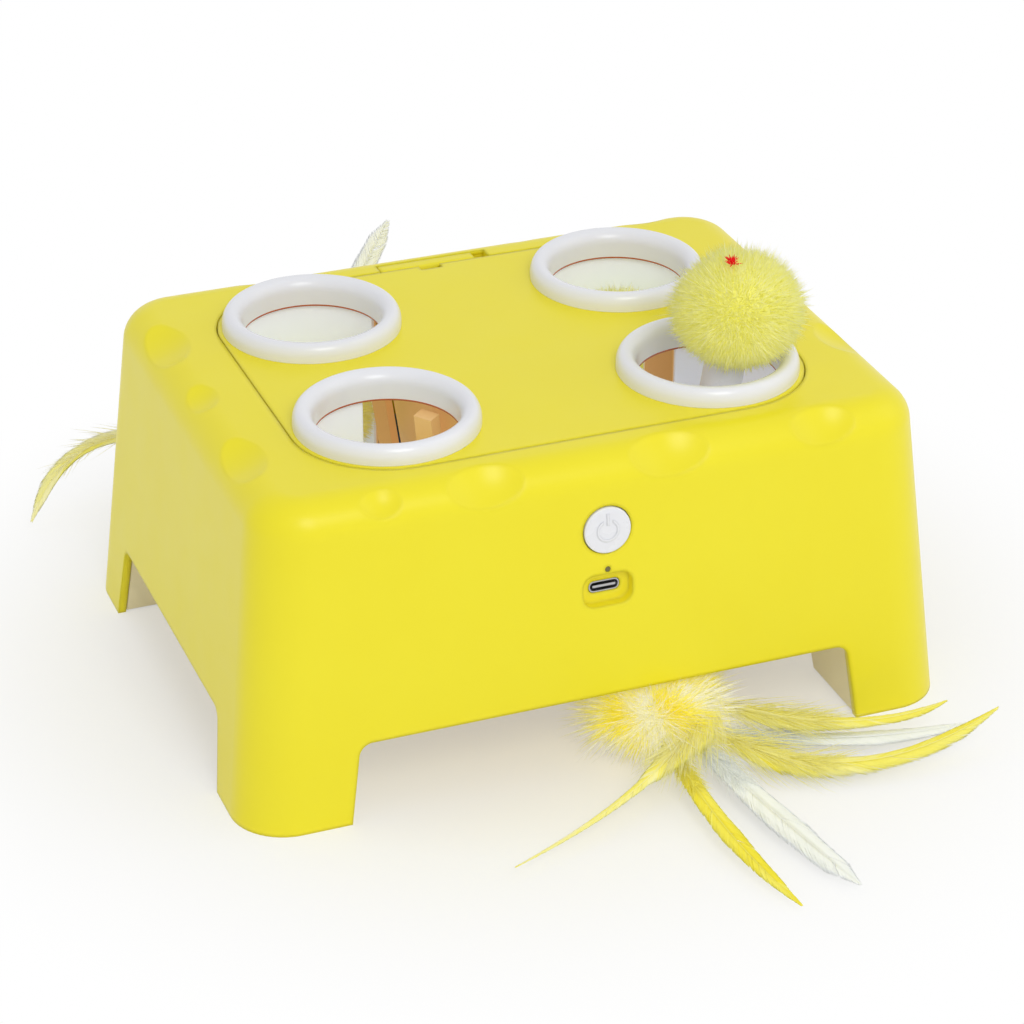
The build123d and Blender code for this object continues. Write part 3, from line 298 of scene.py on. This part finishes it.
def moulded(name, colour, deep, roughness, edge, paint=None, painted_glow=0.0, shine=0.5):
    """Moulded plastic: slightly clouded colour, fine grain, and edges softened by the mould."""
    made, shade = new_material(name)
    place = shade.node("ShaderNodeTexCoord", output="Object")
    tone = place.noise(*cloud_noise).mix(deep, colour)
    if paint:
        tone = paint(place, tone)
    bump = {
        "Strength": grain_strength,
        "Distance": grain_depth,
        "Height": place.noise(*grain_noise),
        "Normal": shade.node("ShaderNodeBevel", {"Radius": edge}, samples=edge_samples),
    }
    surface = {
        "Base Color": tone,
        "Roughness": roughness - gloss_change / 2 + place.noise(*gloss_noise) * gloss_change,
        "Normal": shade.node("ShaderNodeBump", bump),
        "Specular IOR Level": shine,
        # painted glow, no lamp: emission that stands in for light on shaded parts
        "Emission Color": tone,
        "Emission Strength": painted_glow,
    }
    finish_material(shade, shade.node("ShaderNodeBsdfPrincipled", surface))
    return made


def metal(name, colour):
    """Bare metal with fine drawn lines along Z."""
    made, shade = new_material(name)
    place = shade.node("ShaderNodeTexCoord", output="Object")
    stretched = shade.node("ShaderNodeMapping", {"Vector": place, "Scale": (1.0, 1.0, line_stretch)})
    lines = stretched.noise(*line_noise)
    dark = tuple(line_shade * part for part in colour[:3]) + (1.0,)
    bump = {"Strength": line_strength, "Distance": line_depth, "Height": lines}
    surface = {
        "Base Color": lines.mix(dark, colour),
        "Metallic": 1.0,
        "Roughness": metal_roughness + lines * line_gloss,
        "Normal": shade.node("ShaderNodeBump", bump),
    }
    finish_material(shade, shade.node("ShaderNodeBsdfPrincipled", surface))
    return made


def fibre(name, stops, root, depth=0.3, painted_glow=0.08):
    """Soft strands: each has its own tint, painted shade towards its root, and a painted glow for light
    bounced among them.
    """
    made, shade = new_material(name)
    tint = shade.node("ShaderNodeAttribute", output="Fac", attribute_name="tint")
    along = shade.node("ShaderNodeAttribute", output="Fac", attribute_name="along")
    colour = shade.node("ShaderNodeValToRGB", {"Fac": tint}, stops=stops)
    # painted shade: darker towards each strand's root, where the strands shade each other
    colour = (depth - along * depth).mix(colour, root)
    surface = {
        "Base Color": colour,
        "Roughness": 0.8,
        "Specular IOR Level": 0.2,
        # painted glow, no lamp: emission that stands in for light bounced among the strands
        "Emission Color": colour,
        "Emission Strength": painted_glow,
    }
    finish_material(shade, shade.node("ShaderNodeBsdfPrincipled", surface))
    return made


def well_paint(place, tone):
    """The wells are tan outside, where they face the works."""
    level = place.node("ShaderNodeVectorMath", {0: place, 1: (1.0, 1.0, 0.0)}, operation="MULTIPLY")
    folded = place.node("ShaderNodeVectorMath", {0: level}, operation="ABSOLUTE")
    ends = {0: folded, 1: hole_middle}
    reach = place.node("ShaderNodeVectorMath", ends, "Value", operation="DISTANCE")
    return (reach > well_inside).mix(tone, srgb(236, 198, 142))


def ring_paint(place, tone):
    """A thin reddish line where the ring's collar ends."""
    height = place.node("ShaderNodeSeparateXYZ", {0: place}, 2)
    return (height < collar_end).mix(tone, srgb(186, 96, 62))


def leg_bounce_paint(place, tone):
    """Painted bounce light: the white legs are tinted warm below leg_top, as the yellow ones round them
    would light them.
    """
    height = place.node("ShaderNodeSeparateXYZ", {0: place}, 2)
    return (height < leg_top).mix(tone, srgb(240, 230, 192))


white = srgb(238, 239, 243)
white_deep = srgb(231, 232, 238)

# Plastics: colour, colour of the clouds in it, roughness, and radius of the softened edges in metres
plastics = {
    "white_plastic": (white, white_deep, 0.28, 0.0005),
    "black_plastic": (srgb(40, 40, 42), srgb(30, 30, 32), 0.45, 0.0002),
    "clear_plastic": (srgb(120, 112, 60), srgb(100, 92, 50), 0.2, 0.0001),
    "cell_wrap": (srgb(40, 92, 168), srgb(34, 82, 154), 0.3, 0.0003),
    "lead_rubber": (srgb(150, 26, 24), srgb(132, 20, 20), 0.55, 0.0001),
    "board": (srgb(22, 98, 52), srgb(18, 84, 44), 0.35, 0.0002),
}
yellow_looks = (srgb(243, 231, 42), srgb(241, 226, 32), 0.34, 0.0020)
# the tan is the works' own colour, set lighter as painted light for the dim inside of the box
tan_looks = (srgb(222, 182, 122), srgb(212, 170, 108), 0.4, 0.0004)
well_looks = (srgb(236, 241, 252), srgb(230, 236, 248), 0.3, 0.0005)
ring_looks = (white, white_deep, 0.24, 0.0004)
leg_looks = (white, white_deep, 0.35, 0.0005)

finishes = {name: moulded(name, *looks) for name, looks in plastics.items()}
finishes["yellow_plastic"] = moulded("yellow_plastic", *yellow_looks, shine=0.36)
# the tan glows: painted light for the dim inside of the box, not a lamp
finishes["tan_plastic"] = moulded("tan_plastic", *tan_looks, painted_glow=0.28)
finishes["steel"] = metal("steel", srgb(196, 196, 200))
finishes["brass"] = metal("brass", srgb(214, 176, 98))
painted = {
    # the wells glow: painted light for the shade inside them, not a lamp
    "ball_well": moulded("well_plastic", *well_looks, paint=well_paint, painted_glow=0.20),
    "hole_ring": moulded("ring_plastic", *ring_looks, paint=ring_paint),
    # the legs glow a little: painted light, not a lamp
    "bottom_tray": moulded("leg_plastic", *leg_looks, paint=leg_bounce_paint, painted_glow=0.05),
}
pompom_stops = [(0.0, srgb(234, 232, 112)), (0.5, srgb(243, 241, 146)), (1.0, srgb(252, 251, 196))]
pompom_fibre = fibre("pompom_fibre", pompom_stops, srgb(240, 228, 96), painted_glow=0.18)
thread_stops = [(0.0, srgb(216, 22, 30)), (1.0, srgb(244, 44, 44))]
red_thread = fibre("red_thread", thread_stops, srgb(200, 24, 28), painted_glow=0.25)
down_stops = [
    (0.0, srgb(254, 253, 249)),
    (0.4, srgb(254, 251, 226)),
    (0.65, srgb(255, 247, 140)),
    (1.0, srgb(255, 241, 66)),
]
down_fibre = fibre("down_fibre", down_stops, srgb(254, 244, 130), painted_glow=0.18)
yellow_stops = [(0.0, srgb(252, 249, 206)), (0.5, srgb(246, 240, 122)), (1.0, srgb(242, 228, 56))]
white_stops = [(0.0, srgb(250, 252, 250)), (1.0, srgb(238, 242, 238))]
vane_fibres = {
    "yellow_feather": fibre("yellow_feather", yellow_stops, srgb(246, 232, 84)),
    "white_feather": fibre("white_feather", white_stops, srgb(240, 243, 238)),
}

for entry in frame["record"]["subparts"]:
    node = frame["nodes"][entry["node"]]
    if entry["material_slot"] in finishes:
        finish = finishes[entry["material_slot"]]
        for start, special in painted.items():
            if entry["node"].startswith(start):
                finish = special
        node.data.materials.clear()
        node.data.materials.append(finish)


def unit(vectors):
    return vectors / np.maximum(np.linalg.norm(vectors, axis=-1, keepdims=True), 1e-9)


def strands(paths, half_widths, up, flat, tint):
    """Closed three-sided strands: points, faces, tint and place along each. Paths are strand, point, xyz."""
    count, points = paths.shape[:2]
    rings = points - 1
    ahead = unit(np.gradient(paths, axis=1))
    across = unit(np.cross(np.broadcast_to(up[:, None], ahead.shape), ahead))
    lift = np.cross(ahead, across) * flat
    corners = []
    for turn in (pi / 2, pi * 7 / 6, pi * 11 / 6):
        offset = across * cos(turn) + lift * sin(turn)
        corners.append((paths + offset * half_widths[..., None])[:, :rings])
    rows = np.stack(corners, axis=2).reshape(count, 3 * rings, 3)
    vertices = np.concatenate([rows, paths[:, -1:]], axis=1)
    one = [(2, 1, 0)]
    for ring in range(rings - 1):
        for corner in range(3):
            near = 3 * ring + corner
            beside = 3 * ring + (corner + 1) % 3
            one += [(near, beside, beside + 3), (near, beside + 3, near + 3)]
    for corner in range(3):
        last = 3 * (rings - 1)
        one.append((last + corner, last + (corner + 1) % 3, 3 * rings))
    each = 3 * rings + 1
    faces = np.array(one)[None] + each * np.arange(count)[:, None, None]
    along = np.append(np.repeat(np.linspace(0, 1, points)[:rings], 3), 1.0)
    return (vertices.reshape(-1, 3), faces.reshape(-1, 3), np.repeat(tint, each), np.tile(along, count))


def fibre_piece(name, bundles, material, body, nodes=()):
    """One piece from several bundles of strands, in millimetres, riding on a body."""
    start = np.cumsum([0] + [len(bundle[0]) for bundle in bundles])
    vertices = np.concatenate([bundle[0] for bundle in bundles]) * MM
    faces = np.concatenate([bundle[1] + first for bundle, first in zip(bundles, start)])
    mesh = bpy.data.meshes.new(name)
    mesh.from_pydata(vertices.tolist(), [], faces.tolist())
    for attribute, index in (("tint", 2), ("along", 3)):
        values = np.concatenate([bundle[index] for bundle in bundles]).astype(np.float32)
        mesh.attributes.new(attribute, "FLOAT", "POINT").data.foreach_set("value", values)
    mesh.polygons.foreach_set("use_smooth", np.ones(len(faces), bool))
    mesh.materials.append(material)
    mesh.update()
    piece = bpy.data.objects.new(name, mesh)
    bpy.context.scene.collection.objects.link(piece)
    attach(piece, body)
    if nodes:
        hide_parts(*nodes)
    return piece


def spread_directions(count):
    """Directions spread evenly over a ball."""
    step = np.arange(count) + 0.5
    height = 1 - 2 * step / count
    turn = pi * (1 + 5**0.5) * step
    level = np.sqrt(1 - height**2)
    return np.stack([level * np.cos(turn), level * np.sin(turn), height], axis=1)


def wool_core(centre, radius, rng):
    """Closed woolly ball under the strands."""
    rows, columns = core_rows, core_columns
    polar = np.linspace(0, pi, rows + 2)[1:-1]
    turn = np.linspace(0, 2 * pi, columns, endpoint=False)
    level = np.stack([np.outer(np.sin(polar), np.cos(turn)), np.outer(np.sin(polar), np.sin(turn)),
                      np.outer(np.cos(polar), np.ones(columns))], axis=-1).reshape(-1, 3)
    ways = np.concatenate([level, [[0.0, 0.0, 1.0], [0.0, 0.0, -1.0]]])
    points = centre + ways * radius * rng.uniform(*core_change, (len(ways), 1))
    faces = []
    top, bottom = rows * columns, rows * columns + 1
    for column in range(columns):
        beside = (column + 1) % columns
        faces.append((top, column, beside))
        faces.append((bottom, (rows - 1) * columns + beside, (rows - 1) * columns + column))
        for row in range(rows - 1):
            near, far = row * columns, (row + 1) * columns
            faces.append((near + column, far + column, far + beside))
            faces.append((near + column, far + beside, near + beside))
    return points, np.array(faces), rng.uniform(*core_tint, len(ways)), np.ones(len(ways))


def tie_ends(centre, rng):
    """Short ends of the thread that ties a ball, fanned out on top of it."""
    knot = centre + unit(tie_direction) * ball_radius * tie_share
    spray = unit(tie_direction + rng.normal(0, tie_scatter, (tie_strands, 3)))
    step = np.linspace(0, 1, len(tie_halves))[None, :, None]
    paths = knot + spray[:, None] * rng.uniform(*tie_lengths, (tie_strands, 1, 1)) * step
    half = np.tile(tie_halves, (tie_strands, 1))
    return strands(paths, half, rng.normal(0, 1, (tie_strands, 3)), 1.0, rng.random(tie_strands))


def pompom(corner, seed):
    """Fluffy ball: strands in clumps on a woolly core, and the red tie's ends on top."""
    rng = np.random.default_rng(seed)
    node = f"pompom_{corner}"
    raised = corner in ball_fullness
    low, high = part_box(node)
    middle = (low + high) / (2 * MM)
    centre = np.array([middle.x, middle.y, high.z / MM - ball_radius])
    centre += ball_fullness.get(corner, 0.0)
    clumps = spread_directions(ball_clumps)
    clump_reach = rng.uniform(*clump_lengths, ball_clumps)
    home = rng.integers(ball_clumps, size=ball_strands)
    root_way = unit(clumps[home] + rng.normal(0, root_scatter, (ball_strands, 3)))
    tip_way = clumps[home] + clump_hold * (root_way - clumps[home])
    tip_way = unit(tip_way + rng.normal(0, tip_scatter, (ball_strands, 3)))
    below = np.clip(-tip_way[:, 2] - under_from, 0, 1)
    reach = ball_radius * ball_reach * clump_reach[home] * (1 - under_trim * below)
    reach *= rng.uniform(*strand_lengths, ball_strands) * (raised_spread if raised else 1.0)
    wisp = rng.random(ball_strands) < wisp_share
    reach[wisp] *= rng.uniform(*wisp_lengths, wisp.sum())
    curl = rng.normal(0, strand_curl, (ball_strands, 3))
    share = strand_shares[None, :, None]
    way = unit(root_way[:, None] * (1 - share) + tip_way[:, None] * share)
    out = ball_radius * ball_root + (reach[:, None, None] - ball_radius * ball_root) * share
    paths = centre + way * out * ball_shape + curl[:, None] * share**2
    half = strand_halves * rng.uniform(*thread_widths, (ball_strands, 1))
    paler = clump_tint * (clump_reach[home] - 1) / clump_step
    tint = np.clip(rng.normal(*ball_tint, ball_strands) + paler, 0, 1)
    fluff = strands(paths, half, rng.normal(0, 1, (ball_strands, 3)), 1.0, tint)
    bundles = [fluff, wool_core(centre, core_share * ball_radius, rng)]
    ball = fibre_piece(f"fluff_{corner}", bundles, pompom_fibre, f"lift_{corner}", [node])
    if raised:
        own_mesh(ball)
    fibre_piece(f"tie_{corner}", [tie_ends(centre, rng)], red_thread, f"lift_{corner}")


for seed, corner in enumerate(CORNERS):
    pompom(corner, seed + 1)


def keep_under_tray(paths):
    """Holds strands above the floor, and below the tray where they are under the box."""
    under_box = (np.abs(paths[..., 0]) < box_half[0]) & (np.abs(paths[..., 1]) < box_half[1])
    paths[..., 2] = np.clip(paths[..., 2], floor_gap, np.where(under_box, tray_underside, np.inf))


class Quill:
    """Curve of a feather from its root to its tip, pulled towards a bend, and the way its vane lies."""

    def __init__(self, root, bend, tip, roll):
        self.root, self.bend, self.tip = (np.array(point, float) for point in (root, bend, tip))
        self.standing = self.tip[2] - self.root[2] > standing_share * np.linalg.norm(self.tip - self.root)
        self.turn = roll * pi / 180
        self.points = self.at(np.linspace(0, 1, quill_points))
        self.length = np.linalg.norm(np.diff(self.points, axis=0), axis=1).sum()

    def at(self, share):
        share = np.asarray(share)[:, None]
        return self.root * (1 - share) ** 2 + self.bend * 2 * share * (1 - share) + self.tip * share**2

    def ahead(self, share):
        share = np.asarray(share)[:, None]
        return unit((self.bend - self.root) * (1 - share) + (self.tip - self.bend) * share)

    def across(self, share):
        """Level for a feather that lies, and to the side for one that stands, before the roll."""
        ahead = self.ahead(share)
        facing = np.cross([1.0, 0.0, 0.0], ahead) if self.standing else [0.0, 0.0, 1.0]
        level = unit(np.cross(ahead, facing))
        return level * cos(self.turn) + np.cross(ahead, level) * sin(self.turn)


def feather_tints(rng, tone, count, shift):
    return np.clip(rng.normal(tone, tone_change, count) + shift, 0, 1)


def vane_side(rng, quill, side, widths, tone):
    """Barbs in locks on one side of a quill, leaning towards its tip and curling down."""
    share = np.sort(rng.uniform(*barb_span, barbs_each_side))
    lock = np.searchsorted(np.sort(rng.uniform(0, 1, lock_splits)), share)
    lock_reach = rng.uniform(*lock_lengths, lock_splits + 1)[lock]
    lock_shift = rng.normal(0, lock_tint, lock_splits + 1)[lock]
    stations = [0.0, *width_shares[:len(widths)], 1.0]
    reach = np.interp(share, stations, [end_widths[0], *widths, end_widths[1]]) / 2
    reach *= lock_reach * rng.uniform(*barb_lengths, barbs_each_side)
    ahead = quill.ahead(share)
    across = quill.across(share)
    normal = np.cross(across, ahead)
    most = sweep_left * ((1 - share) * quill.length) + sweep_least
    lean = np.minimum(reach * (sweep_root + sweep_more * share), most)[:, None, None]
    lean = lean * ((1 - sweep_late) * barb_steps + sweep_late * barb_steps**2)
    out = across[:, None] * side * reach[:, None, None] * barb_steps
    paths = quill.at(share)[:, None] + out * (1 + barb_bulge - barb_bulge * barb_steps)
    paths += ahead[:, None] * lean - normal[:, None] * reach[:, None, None] * barb_droop * barb_steps**2
    paths += rng.normal(0, barb_scatter, (barbs_each_side, 1, 3)) * barb_steps**2
    half = barb_halves * rng.uniform(*barb_widths, (barbs_each_side, 1))
    tint = feather_tints(rng, tone, barbs_each_side, lock_shift)
    return strands(paths, half, normal, barb_flatness, tint)


def loose_barbs(rng, quill, loose, width, tone):
    """Looser barbs at a feather's root."""
    share = rng.uniform(0.0, loose, plume_barbs)
    ahead = quill.ahead(share)
    level = quill.across(share) * rng.choice([-1, 1], plume_barbs)[:, None]
    heading = level * rng.uniform(*plume_spread, (plume_barbs, 1)) + ahead * plume_lean
    heading = unit(heading + rng.normal(0, plume_scatter, (plume_barbs, 3)))
    length = (width + plume_longer) * rng.uniform(*plume_lengths, plume_barbs)
    length = length * (1 - plume_taper * share / loose)
    paths = quill.at(share)[:, None] + heading[:, None] * length[:, None, None] * barb_steps
    paths += (ahead * length[:, None])[:, None] * plume_curl * barb_steps**2
    paths += rng.normal(0, plume_wander, (plume_barbs, 1, 3)) * barb_steps**2
    keep_under_tray(paths)
    half = plume_halves * rng.uniform(*thread_widths, (plume_barbs, 1))
    up = rng.normal(0, 1, (plume_barbs, 3))
    return strands(paths, half, up, 1.0, feather_tints(rng, tone, plume_barbs, plume_tint))


def feather(rng, root, bend, tip, widths, tone, roll, loose):
    """One feather: a tapered quill, barbs in locks each side of it, and looser ones at its root."""
    quill = Quill(root, bend, tip, roll)
    up = np.cross(quill.across([0.5]), quill.ahead([0.5]))
    shaft = strands(quill.points[None], quill_halves[None], up, 1.0, np.array([tone * quill_tint]))
    sides = [vane_side(rng, quill, side, widths, tone) for side in (-1, 1)]
    return [shaft, *sides, loose_barbs(rng, quill, loose, widths[0], tone)]


for seed, (node, group) in enumerate(feathers.items()):
    rng = np.random.default_rng(feather_seed + seed)
    bundles = []
    for one in group:
        bundles += feather(rng, *one)
    slot = "yellow_feather" if "yellow" in node else "white_feather"
    fibre_piece(f"barbs_{node}", bundles, vane_fibres[slot], "rotor", [node])


def lure_down(place, turn, seed):
    """Bunch of down at a lure: plumes of fine hairs, white, cream and gold in patches."""
    rng = np.random.default_rng(seed)
    node = f"lure_fluff_{place}"
    low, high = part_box(node)
    centre = np.array((low + high) / (2 * MM))
    radius = (high.x - low.x) / (2 * MM)
    rise = (high.z - low.z) / (2 * MM)
    step = np.linspace(0, 1, len(hair_halves))[None, :, None]
    bundles = []
    for way in spread_directions(down_plumes):
        azimuth = np.arctan2(way[1], way[0]) - turn
        wave = np.sin(patch_turns * azimuth + patch_rise * way[2] + patch_start)
        patch = 0.5 + 0.5 * wave + rng.normal(0, patch_change)
        stretch = np.array([radius, radius, rise]) * rng.uniform(*down_lengths)
        root = centre + way * stretch * down_root
        end = centre + way * stretch
        side = unit(np.cross(way, rng.normal(0, 1, 3)))
        other = np.cross(way, side)
        start_share = rng.uniform(*hair_starts, down_hairs)
        fan = rng.normal(0, 1, (down_hairs, 2))
        start = root + (end - root) * start_share[:, None]
        length = np.linalg.norm(end - root) * rng.uniform(*hair_lengths, down_hairs)
        heading = unit(way + hair_fan * (fan[:, :1] * side + fan[:, 1:] * other))
        paths = start[:, None] + heading[:, None] * length[:, None, None] * step
        paths += (way * hair_curl * length[:, None])[:, None] * step**2
        paths += rng.normal(0, hair_wander, (down_hairs, 1, 3)) * step**2
        keep_under_tray(paths)
        half = hair_halves * rng.uniform(*thread_widths, (down_hairs, 1))
        tint = np.clip(patch + rng.normal(0, hair_tint, down_hairs), 0, 1)
        bundles.append(strands(paths, half, rng.normal(0, 1, (down_hairs, 3)), 1.0, tint))
    fibre_piece(f"down_{place}", bundles, down_fibre, "rotor", [node])


for place, (turn, seed) in down_lures.items():
    lure_down(place, turn, seed)


def seen_rays(shade):
    """One for rays that the camera, a reflection or a clear piece sends, and nought for the rest."""
    rays = [shade.node("ShaderNodeLightPath", output=ray)
            for ray in ("Is Camera Ray", "Is Glossy Ray", "Is Transmission Ray")]
    return rays[0] + rays[1] + rays[2]


def studio_floor():
    """Pale floor that keeps the toy's soft shadow and goes to white away from it."""
    made, shade = new_material("studio_floor")
    place = shade.node("ShaderNodeTexCoord", output="Object")
    reach = shade.node("ShaderNodeVectorMath", {0: place}, "Value", operation="LENGTH")
    span = {"Value": reach, "From Min": shadow_from, "From Max": shadow_to}
    far = shade.node("ShaderNodeMapRange", span, interpolation_type="SMOOTHSTEP")
    near = shade.node("ShaderNodeMapRange", {"Value": reach, "From Min": warm_to, "From Max": warm_from})
    # painted warm shade and bounce light from the yellow toy, on the floor near it
    lit = shade.node("ShaderNodeBsdfDiffuse", {"Color": near.mix(srgb(250, 250, 249), srgb(236, 222, 178))})
    pale = shade.node("ShaderNodeEmission", {"Color": srgb(255, 255, 255), "Strength": 1.0})
    share = seen_rays(shade) * (shadow_veil + far * (1 - shadow_veil))
    finish_material(shade, shade.node("ShaderNodeMixShader", {0: share, 1: lit, 2: pale}))
    mesh = bpy.data.meshes.new("studio_floor")
    edge = floor_half
    corners = [(-edge, -edge, 0), (edge, -edge, 0), (edge, edge, 0), (-edge, edge, 0)]
    mesh.from_pydata(corners, [], [(0, 1, 2, 3)])
    mesh.materials.append(made)
    floor = bpy.data.objects.new("studio_floor", mesh)
    bpy.context.scene.collection.objects.link(floor)


def white_surround():
    """White all round for the camera and for reflections, and a plain even light for the rest."""
    world = bpy.data.worlds.new("white_surround")
    world.use_nodes = True
    world.node_tree.nodes.clear()
    shade = Shade(world.node_tree)
    strength = surround_light + seen_rays(shade) * (1 - surround_light)
    sky = shade.node("ShaderNodeBackground", {"Color": srgb(255, 255, 255), "Strength": strength})
    shade.node("ShaderNodeOutputWorld", {"Surface": sky})
    bpy.context.scene.world = world


def soft_lamp(name, place, size, watts, aim):
    """Round lamp that the camera doesn't see."""
    lamp = bpy.data.lights.new(name, "AREA")
    lamp.shape = "DISK"
    lamp.size = size
    lamp.energy = watts
    held = bpy.data.objects.new(name, lamp)
    held.location = place
    held.rotation_mode = "QUATERNION"
    held.rotation_quaternion = (aim - place).to_track_quat("-Z", "Y")
    held.visible_camera = False
    bpy.context.scene.collection.objects.link(held)


studio_floor()
white_surround()
for name, (place, size, watts, aim) in lamps.items():
    soft_lamp(name, place, size, watts, aim)

lens = bpy.data.cameras.new("photo_camera")
lens.lens = camera_lens
lens.sensor_width = camera_sensor
camera = bpy.data.objects.new("photo_camera", lens)
camera.location = camera_place
camera.rotation_mode = "QUATERNION"
camera.rotation_quaternion = (camera_target - camera_place).to_track_quat("-Z", "Y")
bpy.context.scene.collection.objects.link(camera)
bpy.context.scene.camera = camera
bpy.context.scene.view_settings.view_transform = "Standard"
